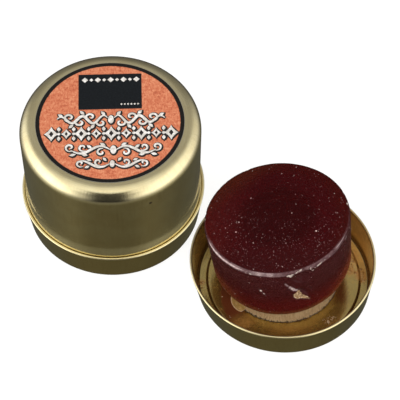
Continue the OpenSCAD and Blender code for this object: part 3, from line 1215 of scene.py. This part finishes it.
def break_front(skin, fine_rag):
    """The broken patch with its hollow, the streaks above it and the corner."""
    distance = (outline_distance(skin.unrolled, BREAK) + 0.34 * skin.noise(1.1, 9.0)
                + 0.15 * skin.noise(2.6, 19.0))
    mask = smoothstep(0.20, -0.15, distance) * skin.outer
    skin.mark("wear", mask)
    skin.mark("dig", mask * (0.42 + 0.42 * skin.noise(1.5, 2.0)))
    distance = outline_distance(skin.unrolled, HOLLOW) + 0.3 * skin.noise(0.7, 5.0)
    skin.mark("dig", 0.55 * smoothstep(0.6, -0.7, distance) * skin.outer)
    rag = 0.34 * skin.noise(1.5, 33.0)
    skin.stroke("bloom_and_highlight", [(4.2, 16.2), (6.2, 15.2)], 0.42, 0.62, 0.12, rag)
    skin.stroke("bloom_and_highlight", [(7.2, 14.6), (8.8, 13.9), (10.6, 13.0), (11.6, 12.8)],
                0.62, 0.70, 0.14, rag)
    skin.stroke("nick", [(7.8, 14.3), (9.2, 13.6)], 0.30, 0.60, 0.0, rag)
    skin.stroke("bloom_and_highlight", [(14.5, 12.6), (18.0, 11.2), (20.0, 9.6)], 0.28, 0.26, 0.0, fine_rag)
    # a shallow dark hollow under the rim
    distance = outline_distance(skin.unrolled, CORNER) + 0.5 * skin.noise(0.5, 7.0)
    corner = smoothstep(0.5, -0.9, distance) * skin.outer
    skin.mark("dig", 0.55 * corner)
    skin.masks["bloom_and_highlight"] *= 1 - 0.35 * smoothstep(0.2, 0.8, corner)


def knock_away_sides(skin, fine_rag):
    """Scattered knocks on the sides away from the front, and two hollows."""
    rng = random.Random(31)
    for _ in range(46):
        degrees = rng.uniform(62, 298)
        z = rng.choice((rng.uniform(19.3, 20.5), rng.uniform(19.3, 20.5),
                        rng.uniform(6, 18.5)))
        degrees = degrees - 360 if degrees > 180 else degrees
        length, rise = rng.uniform(0.6, 5.0), rng.uniform(-0.6, 0.6)
        key = "nick" if rng.random() < 0.6 else "bloom_and_highlight"
        stations = [(degrees, z), (degrees + length * 0.5, z + rise),
                    (degrees + length, z + rise * 0.4)]
        skin.stroke(key, stations, rng.uniform(0.14, 0.30), rng.uniform(0.45, 0.9),
                    rng.uniform(0.1, 0.35), fine_rag)
    for along, height, size in ((38.0, 12.0, 1.0), (-44.0, 9.0, 1.3)):
        outline = []
        for i in range(14):
            t = 2 * math.pi * i / 14
            outline.append((along + size * 1.9 * math.cos(t) * (1 + 0.25 * math.sin(3 * t)),
                            height + size * 1.4 * math.sin(t) * (1 + 0.2 * math.cos(2 * t))))
        distance = outline_distance(skin.unrolled, outline) + 0.35 * skin.noise(0.8, along)
        mask = smoothstep(0.3, -0.6, distance) * skin.outer
        skin.mark("dig", 0.5 * mask)
        skin.mark("wear", 0.8 * mask * (skin.noise(0.6, 3.0) > 0.0))


def wear_skin(skin):
    fine_rag = 0.10 * skin.noise(1.7, 30.0)
    break_front(skin, fine_rag)
    for half_width, strength, *stations in NICKS:
        skin.stroke("nick", stations, half_width, strength, 0.14, fine_rag)
    skin.stroke("bloom_and_highlight", [(-17.5, 13.9), (-13.0, 11.2)], 0.40, 0.30, 0.0, fine_rag)
    knock_away_sides(skin, fine_rag)


def top_sag(radius):
    """The poured top stands a little high round the edge."""
    return 0.10 * (smoothstep(9, 17.5, radius) - 1.0)


def add_cake(name, seed, worn, segments, step, body, replaces, at):
    skin = CakeSkin(cake_profile(step), segments)
    swell = 0.07 * skin.noise(0.11, seed) + 0.018 * skin.noise(0.66, seed)
    foot = skin.z < 0.6                     # the foot stays flat on its pad
    swell[foot] = np.minimum(swell[foot], 0.0) * skin.z[foot] / 0.6
    verts = skin.points + skin.normals * swell[:, None]
    top = skin.z > CAKE_H - 0.02
    verts[top, 2] += top_sag(skin.radius[top])
    frost_and_highlight_edges(skin)
    if worn:
        wear_skin(skin)
    ripple = 1 + 0.25 * np.sin(5.0 * (skin.points[:, 0] * 0.8 + skin.z)
                               + 3.0 * skin.noise(0.5, 8.0))
    dig = skin.masks.pop("dig")
    verts = verts - skin.normals * (dig * ripple)[:, None]
    add_object(name, (verts, skin.faces), ROSIN, body, at, replaces,
               attributes=skin.masks)


# The same turn as part.scad: about Y first, then about X
LEAN = Matrix.Rotation(-LEAN_BACK, 4, "X") @ Matrix.Rotation(-LEAN_LEFT, 4, "Y")
CAKE_RISE = Vector((0, 0, CAKE_Z * MM))
CAKE_MATRIX = Matrix.Translation(OPEN_AT + CAKE_SHIFT * MM + CAKE_RISE) @ LEAN

add_cake("rosin_cake_body", seed=11.0, worn=True, segments=520, step=0.22, body="cake",
         replaces="rosin_cake", at=CAKE_MATRIX)
add_cake("stored_cake_body", seed=47.0, worn=False, segments=220, step=0.5,
         body="closed_tin", replaces="stored_cake", at=CLOSED_AT + CAKE_RISE)


# ----------------------------------------------------------------------------
# Backing pads: felted cloth with a ragged nap. under_cake(x, y) is the height
# of the cake's underside over the pad.
# ----------------------------------------------------------------------------
def pad_radius(angle, level, seed):
    """Radius of the ragged side; level is 0 at the foot and 1 at the top."""
    x, y = math.cos(angle), math.sin(angle)
    slow = noise.noise(Vector((x * 3 + seed, y * 3, level * 0.6)))
    fibre = noise.noise(Vector((x * 26 + seed, y * 26, level * 1.2)))
    fine = noise.noise(Vector((x * 70, y * 70 + seed, level * 3.0)))
    flare = 0.30 * (1 - level) ** 4 - 0.10 * math.sin(math.pi * level)
    return PAD_R - 0.25 + 0.13 * slow + 0.17 * fibre + 0.10 * fine + flare


def add_pad(name, at, body, replaces, under_cake, seed, segments, rows):
    angles = np.linspace(0, 2 * math.pi, segments, endpoint=False)
    verts, faces = [], []

    def top(x, y):
        return under_cake(x, y) - 0.03

    def ring(level, share, height):
        """Points at a share of the radius; height is a function of x and y."""
        start = len(verts)
        for angle in angles:
            radius = pad_radius(angle, level, seed) * share
            x, y = radius * math.cos(angle), radius * math.sin(angle)
            verts.append((x, y, height(x, y)))
        return list(range(start, len(verts)))

    def bridge(lower, upper):
        for j in range(segments):
            k = (j + 1) % segments
            faces.append((lower[j], lower[k], upper[k], upper[j]))

    rings = []
    for i in range(rows + 1):
        t = i / rows
        rings.append(ring(t, 1.0, lambda x, y: PAD_Z + (top(x, y) - PAD_Z) * t))
    rings += [ring(1.0, share, top) for share in (0.96, 0.85, 0.6, 0.3)]
    for lower, upper in zip(rings[:-1], rings[1:]):
        bridge(lower, upper)
    verts.append((0, 0, top(0, 0)))
    centre = len(verts) - 1
    for j in range(segments):
        faces.append((rings[-1][j], rings[-1][(j + 1) % segments], centre))
    outer = rings[0]
    for share in (0.9, 0.5):
        inner = ring(0.0, share, lambda x, y: PAD_Z)
        bridge(inner, outer)
        outer = inner
    verts.append((0, 0, PAD_Z))
    centre = len(verts) - 1
    for j in range(segments):
        faces.append((outer[(j + 1) % segments], outer[j], centre))
    add_object(name, (verts, faces), CLOTH, body, at, replaces)


def add_fibres(name, at, body, under_cake, pad_seed, seed, count, fray=False):
    """Loose fibres that stand off the side; the fray is thicker, dark with glue and painted
    contact shadow, and lies at the foot."""
    rng = random.Random(seed)
    mesh = ([], [])
    for i in range(count):
        angle = rng.uniform(0, 2 * math.pi)
        low = fray or rng.random() < 0.25
        if fray:
            level = rng.uniform(0.0, 0.05)
        else:
            level = rng.uniform(0.10, 0.25) if low else rng.uniform(0.15, 0.98)
        root = pad_radius(angle, level, pad_seed) - 0.05
        length = rng.uniform(0.25, 0.85) if low else rng.uniform(0.3, 1.0)
        thick = rng.uniform(0.022, 0.042) * (1.8 if fray else 1.0)
        swing = rng.uniform(-0.6, 0.6) / 15
        ceiling = under_cake(root * math.cos(angle), root * math.sin(angle)) - 0.06
        start_z = PAD_Z + (ceiling - PAD_Z) * level
        rise = rng.uniform(-0.15, 0.30) if low else rng.uniform(-1.0, 0.2) * length
        reach = rng.uniform(0.2, 0.7) * length if low else rng.uniform(0.06, 0.22)
        path, radii = [], []
        for k in range(5):
            t = k / 4
            radius = root + reach * math.sin(t * 1.4)
            turn = angle + swing * t * t * 2
            z = max(PAD_Z + 0.03, start_z + rise * t + 0.10 * math.sin(3 * t + i))
            path.append(Vector((radius * math.cos(turn), radius * math.sin(turn),
                                min(z, ceiling))))
            radii.append(thick * (1 - 0.65 * t))
        add_part(mesh, tube(path, radii, 3))
    add_object(name, mesh, GLUE_AND_FOOT_SHADE if fray else FIBRE, body, at, outward=False)


def under_leaning_cake(x, y):
    normal = LEAN.to_3x3() @ Vector((0, 0, 1))
    centre = CAKE_SHIFT + Vector((0, 0, CAKE_Z)) - PAD_SHIFT
    return centre.z - (normal.x * (x - centre.x) + normal.y * (y - centre.y)) / normal.z


def under_stored_cake(x, y):
    return CAKE_Z


PAD_AT = OPEN_AT + PAD_SHIFT * MM
add_pad("backing_pad_cloth", PAD_AT, "cake", "cake_backing_pad", under_leaning_cake,
        seed=5.0, segments=360, rows=14)
add_fibres("backing_pad_nap", PAD_AT, "cake", under_leaning_cake, pad_seed=5.0, seed=8,
           count=2600)
add_fibres("backing_pad_fray", PAD_AT, "cake", under_leaning_cake, pad_seed=5.0, seed=21,
           count=300, fray=True)
add_pad("stored_pad_cloth", CLOSED_AT, "closed_tin", "stored_backing_pad",
        under_stored_cake, seed=9.0, segments=240, rows=8)
add_fibres("stored_pad_nap", CLOSED_AT, "closed_tin", under_stored_cake, pad_seed=9.0,
           seed=12, count=900)


# ----------------------------------------------------------------------------
# Dust and crumbs
# ----------------------------------------------------------------------------
# Larger grains on the cake's top: x, y, size
TOP_GRAINS = (
    (-6.8, 7.3, 0.30), (2.1, -8.9, 0.26), (10.1, -5.6, 0.30), (-10.1, -0.7, 0.26),
    (-9.1, -9.6, 0.24), (-10.9, -4.0, 0.26), (3.9, 1.2, 0.20), (-2.0, -4.3, 0.20),
    (10.9, -5.2, 0.18), (1.7, -8.2, 0.18), (-6.2, 7.0, 0.2), (5.6, -3.2, 0.18),
    (-12.6, -1.6, 0.2), (8.4, 3.4, 0.18),
)
# Heaps of crumbs on the tray floor: x, y, count, spread
CRUMB_HEAPS = (
    (12.0, -14.1, 26, 0.9), (13.5, -12.9, 12, 0.8), (-14.6, -12.6, 3, 0.5),
    (-16.0, -6.3, 2, 0.3), (22.0, 0.6, 6, 0.9), (-21.6, -1.6, 4, 0.5),
    (6.0, 18.2, 8, 2.0), (-9.0, 17.5, 6, 2.0),
)


def shard(rng, size):
    """A small irregular closed splinter."""
    count = 6
    verts, faces = [(0, 0, size * 0.5), (0, 0, -size * 0.35)], []
    for i in range(count):
        angle = 2 * math.pi * i / count + rng.uniform(-0.3, 0.3)
        verts.append((size * rng.uniform(0.5, 1.1) * math.cos(angle),
                      size * rng.uniform(0.5, 1.1) * math.sin(angle),
                      size * rng.uniform(-0.2, 0.25)))
        j = (i + 1) % count
        faces += [(0, 2 + i, 2 + j), (1, 2 + j, 2 + i)]
    turn = Matrix.Rotation(rng.uniform(0, 6.28), 3, "Z") \
        @ Matrix.Rotation(rng.uniform(-0.5, 0.5), 3, "X")
    return [tuple(turn @ Vector(point)) for point in verts], faces


def side_point(degrees, z):
    """A point just off the cake's side."""
    if z > CAKE_TURN:
        radius = CAKE_LOW_R + (CAKE_R - CAKE_LOW_R) * (z - CAKE_TURN) / (EDGE_Z - CAKE_TURN)
        radius = min(radius, CAKE_R)
    else:
        drop = 1 - z / CAKE_TURN
        radius = CAKE_FOOT_R + (CAKE_LOW_R - CAKE_FOOT_R) * math.sqrt(max(0, 1 - drop * drop))
    radius += 0.01
    angle = math.radians(degrees)
    return radius * math.sin(angle), -radius * math.cos(angle), z


def add_dust():
    rng = random.Random(77)
    mesh = ([], [])

    def top_grain(x, y, size):
        z = CAKE_H + float(top_sag(math.hypot(x, y)))
        add_part(mesh, shard(rng, size), (x, y, z))

    for x, y, size in TOP_GRAINS:
        top_grain(x, y, size)
    made = 0
    while made < 640:         # thicker towards the front
        radius, angle = 18.2 * math.sqrt(rng.random()), rng.uniform(0, 2 * math.pi)
        x, y = radius * math.cos(angle), radius * math.sin(angle)
        if rng.random() > 0.16 + 0.84 * max(0.0, min(1.0, (7 - y) / 16)) ** 1.3:
            continue
        size = 0.062 + 0.078 * rng.random() ** 2.2 + (0.06 if rng.random() < 0.12 else 0)
        top_grain(x, y, min(0.22, size))
        made += 1
    for _ in range(170):      # front half of the side, with some larger grains
        spot = side_point(rng.uniform(-75, 75), rng.uniform(3.5, 19.5))
        size = rng.uniform(0.04, 0.09) * (1.5 if rng.random() < 0.1 else 1)
        add_part(mesh, shard(rng, size), spot)
    for _ in range(120):      # back half
        spot = side_point(rng.uniform(75, 285), rng.uniform(3.5, 19.5))
        add_part(mesh, shard(rng, rng.uniform(0.04, 0.09)), spot)
    add_object("rosin_dust", mesh, dust_material("rosin_dust"), "cake",
               CAKE_MATRIX, smooth=False, outward=False)


def add_crumbs():
    rng = random.Random(5)
    mesh = ([], [])
    for heap_x, heap_y, count, spread in CRUMB_HEAPS:
        for _ in range(count):
            x = heap_x + rng.gauss(0, spread * 0.6)
            y = heap_y + rng.gauss(0, spread * 0.45)
            radius = math.hypot(x, y)
            # keep off the wall, the cake and the step of the panel
            if radius > 21.8 or radius < 16.6 or 20.2 < radius < 21.2:
                continue
            floor_z = PANEL_TOP if radius < 20.5 else SHEET
            size = rng.uniform(0.07, 0.20)
            add_part(mesh, shard(rng, size), (x, y, floor_z + size * 0.35))
    add_object("rosin_crumbs", mesh, CRUMB, "open_tin", OPEN_AT, smooth=False,
               outward=False)


add_dust()
add_crumbs()

# ----------------------------------------------------------------------------
# Rosin run at the foot of the cake, and dried drops
# ----------------------------------------------------------------------------
RUN_OUTLINE = [(-13.3, -5.6), (-13.75, -6.9), (-13.65, -8.3), (-13.1, -9.5),
               (-12.2, -10.55), (-11.3, -11.05), (-10.5, -11.0), (-9.8, -10.75),
               (-8.9, -10.2), (-9.3, -7.6), (-11.4, -5.2), (-12.7, -4.6)]
# Drops on the tray floor: x, y, half width in x, half width in y
DROPS = (
    (19.4, 5.6, 0.85, 0.95), (19.0, 3.6, 0.55, 0.8), (18.4, 2.0, 0.6, 0.55),
    (22.0, 1.2, 0.62, 1.0), (22.2, -0.7, 0.55, 0.6), (21.7, 3.0, 0.4, 0.5),
    (20.0, 1.6, 0.38, 0.5), (-21.9, -1.5, 0.45, 0.5), (-21.7, -3.0, 0.25, 0.3),
)


def drop_mesh(outline, foot_z, thick, rings, lip):
    """A closed, low drop with the given outline: its underside follows
    foot_z(x, y), its top is domed, and a raised lip runs round it."""
    outline = np.array(outline, float)
    centre = outline.mean(0)
    count = len(outline)
    verts, faces = [], []

    def top_point(x, y, share):
        height = thick * (1 - share ** 3) + lip * math.exp(-((share - 0.93) / 0.06) ** 2)
        return x, y, foot_z(x, y) + max(height, 0.012)

    for j in range(rings):
        share = 1 - j / rings
        verts += [top_point(x, y, share) for x, y in centre + (outline - centre) * share]
    peak = len(verts)
    verts.append(top_point(*centre, 0))
    foot = len(verts)
    verts += [(x, y, foot_z(x, y)) for x, y in outline]
    under = len(verts)
    verts.append((*centre, foot_z(*centre)))
    for j in range(rings):
        one, two = j * count, (j + 1) * count
        for i in range(count):
            k = (i + 1) % count
            if j == rings - 1:
                faces.append((one + i, one + k, peak))
            else:
                faces.append((one + i, one + k, two + k, two + i))
    for i in range(count):
        k = (i + 1) % count
        faces += [(i, foot + i, foot + k, k), (foot + i, under, foot + k)]
    return verts, faces


def smooth_loop(points, count):
    """Closed Catmull-Rom curve through points."""
    knots = [np.array(point, float) for point in points]
    total = len(knots)
    curve = []
    for i in range(count):
        place = i * total / count
        k, t = int(place), place - int(place)
        a, b, c, d = (knots[(k + shift) % total] for shift in (-1, 0, 1, 2))
        curve.append(tuple(0.5 * (2 * b + (c - a) * t + (2 * a - 5 * b + 4 * c - d) * t * t
                                  + (3 * b - a - 3 * c + d) * t ** 3)))
    return curve


def add_run():
    """A thin lip of rosin that ran out under the cake at its front left."""
    loop = smooth_loop(RUN_OUTLINE, 72)
    thick = 0.20

    def pad_distance(x, y):
        return math.hypot(x - 0.1, y - 1.0)

    def foot_z(x, y):
        return 1.02 + 1.30 * float(smoothstep(16.7, 15.1, pad_distance(x, y)))

    add_object("rosin_run_lip", drop_mesh(loop, foot_z, thick, rings=8, lip=0.16), RUN,
               "cake", OPEN_AT)
    # its pale, chalky edge, as a thin bead along the part clear of the pad
    path = [Vector((x, y, foot_z(x, y) + thick)) for x, y in loop]
    path = [point for point in path if pad_distance(point.x, point.y) > 14.9]
    path.sort(key=lambda point: math.atan2(point.y + 8.0, point.x + 11.0) % (2 * math.pi))
    start = max(range(len(path)), key=lambda i: (path[i] - path[i - 1]).length)
    path = path[start:] + path[:start]
    radii = [0.115 * (0.35 + 0.65 * math.sin(math.pi * (i + 0.5) / len(path)) ** 0.4)
             for i in range(len(path))]
    add_object("rosin_run_edge", tube(path, radii, 6), CHALK, "cake", OPEN_AT)


def add_drops():
    rng = random.Random(3)
    mesh = ([], [])
    for drop_x, drop_y, half_x, half_y in DROPS:
        outline = []
        for k in range(9):
            t = 2 * math.pi * k / 9
            outline.append((drop_x + half_x * (1 + rng.uniform(-0.25, 0.25)) * math.cos(t),
                            drop_y + half_y * (1 + rng.uniform(-0.25, 0.25)) * math.sin(t)))
        on_panel = math.hypot(drop_x, drop_y) < PANEL_R - 0.4
        height = (PANEL_TOP if on_panel else SHEET) + 0.005
        add_part(mesh, drop_mesh(smooth_loop(outline, 28), lambda x, y: height, 0.10,
                                 rings=5, lip=0.05))
    add_object("rosin_drops", mesh, AMBER, "open_tin", OPEN_AT)


add_run()
add_drops()


# ----------------------------------------------------------------------------
# Floor, world, lights and camera (metres)
# ----------------------------------------------------------------------------
def add_floor():
    """A pale floor that looks almost evenly lit to the camera."""
    half, z = 3.0, -0.0002
    data = bpy.data.meshes.new("floor")
    corners = [(-half, -half, z), (half, -half, z), (half, half, z), (-half, half, z)]
    data.from_pydata(corners, [], [(0, 1, 2, 3)])
    floor = bpy.data.objects.new("floor", data)
    bpy.context.scene.collection.objects.link(floor)
    material = start_material("floor_pale")
    camera_ray = node("LightPath")["Is Camera Ray"]
    paint = mix(camera_ray, (0.80, 0.80, 0.80), (0.24, 0.24, 0.24))
    glow = node("Emission", Color=(1, 1, 1), Strength=camera_ray * 0.84)
    node("OutputMaterial", node("AddShader", node("BsdfDiffuse", Color=paint), glow))
    data.materials.append(material)
    floor.visible_glossy = False


def curve(value, stations, top):
    """Brightness by value from -1 to 1; stations are (value, brightness) and
    top is the scale that keeps them within 0 to 1."""
    stops = [((at + 1.0) / 2.0, (level / top,) * 3) for at, level in stations]
    return ramp(calc("MULTIPLY_ADD", value, 0.5, 0.5), stops) * top


def camera_gap(x, y, z):
    """1 in the gap where the camera stands, which is wider low down."""
    low = ease(z, 0.66, 0.42)
    left_edge = mix_value(low, 0.44, 0.74)
    right_edge = mix_value(low, 0.38, 0.60)
    off_centre = abs(x + 0.02)
    edge = mix_value(x > -0.02, left_edge, right_edge)
    share = (off_centre - 0.20) / (edge - 0.20)
    return ease(share, 1.0, 0.0) * (ease(z, 0.88, 0.73) * ease(y, -0.30, -0.45))


def build_world():
    """A studio tent. Mirror rays see it by direction: soft boxes to the left
    and right, a dim backdrop, a dark warm table and the camera's gap.
    Everything else is lit by the tent's even glow."""
    world = bpy.data.worlds.new("studio")
    bpy.context.scene.world = world
    start_tree(world)
    x, y, z = separate(calc("NORMALIZE", node("TexCoord")["Generated"]))
    light = curve(y, [(-1.0, 1.30), (-0.4, 1.22), (-0.08, 0.99), (0.10, 0.84), (0.27, 0.57),
                      (0.44, 0.40), (0.60, 0.44), (0.82, 0.26), (1.0, 0.14)], top=2.0)
    table = curve(y, [(-1.0, 2.05), (-0.57, 1.72), (-0.30, 1.30), (0.0, 0.98), (0.20, 0.88),
                      (0.36, 0.86), (0.60, 0.78), (1.0, 0.40)], top=2.2)
    left_box = ease(x, -0.52, -0.86) * 0.95
    right_box = ease(x, 0.42, 0.80) * 0.50
    light = light + (left_box + right_box) * ease(y, 1.0, 0.34)
    table = table * calc("MULTIPLY_ADD", maximum(x * -1.0, 0.0), 0.38, 1.0)
    light = mix_value(ease(z, -0.58, -0.78), light, table)
    gap_depth = mix_value(ease(z, -0.58, -0.30), 0.38, 0.970)
    light = light * (1.0 - camera_gap(x, y, z) * gap_depth)
    # falling off below the edge of the table
    fall = curve(z, [(-1.0, 0.066), (-0.93, 0.074), (-0.86, 0.088), (-0.795, 0.108),
                     (-0.66, 0.165), (-0.56, 0.22), (-0.45, 0.30), (-0.33, 0.45),
                     (-0.18, 0.72), (-0.04, 0.95), (0.05, 1.0)], top=1.0)
    light = light * fall
    tint = mix(ease(z, -0.30, -0.70), (1, 0.99, 0.97), (1, 0.955, 0.70))
    low_tint = mix(ease(y, -0.25, 0.35), (1, 0.86, 0.44), (1, 0.95, 0.62))
    tint = mix(ease(z, -0.72, -0.95), tint, low_tint)
    tent = node("Background", Color=tint, Strength=light)
    glow = node("Background", Color=(1, 0.985, 0.97),
                Strength=curve(z, [(-1.0, 0.5), (0.0, 0.70), (1.0, 0.80)], top=1.0))
    white = node("Background", Color=(1, 1, 1), Strength=1.0)
    light_path = node("LightPath")
    seen = node("MixShader", light_path["Is Diffuse Ray"], tent, glow)
    node("OutputWorld", node("MixShader", light_path["Is Camera Ray"], seen, white))


def aim(obj, place, target):
    obj.location = place
    obj.rotation_euler = (Vector(target) - Vector(place)).to_track_quat("-Z", "Y").to_euler()


def add_light(name, place, target, size, power):
    """A disk light that mirrors do not show."""
    light = bpy.data.lights.new(name, "AREA")
    light.shape = "DISK"
    light.size = size
    light.energy = power
    obj = bpy.data.objects.new(name, light)
    bpy.context.scene.collection.objects.link(obj)
    aim(obj, place, target)
    obj.visible_glossy = False


def add_camera():
    elevation = math.radians(55.163)
    distance = 614.01061 * MM
    target = Vector((0.797 * MM, 13.968 * MM, 0))
    camera = bpy.data.cameras.new("camera")
    camera.sensor_width = 36.0
    camera.lens = 198.0
    camera.clip_start, camera.clip_end = 0.01, 20
    obj = bpy.data.objects.new("camera", camera)
    bpy.context.scene.collection.objects.link(obj)
    aim(obj, target + Vector((0, -math.cos(elevation), math.sin(elevation))) * distance,
        target)
    bpy.context.scene.camera = obj


add_floor()
build_world()
add_light("key_soft", place=(-0.22, -0.32, 0.75), target=(0, 0, 0), size=0.55, power=1.5)
add_light("fill_front", place=(0.10, -0.40, 0.50), target=(0.02, -0.01, 0.005), size=0.30,
          power=0.85)
add_camera()
view = bpy.context.scene.view_settings
view.view_transform = "Standard"
view.look = "None"

bpy.context.view_layer.update()
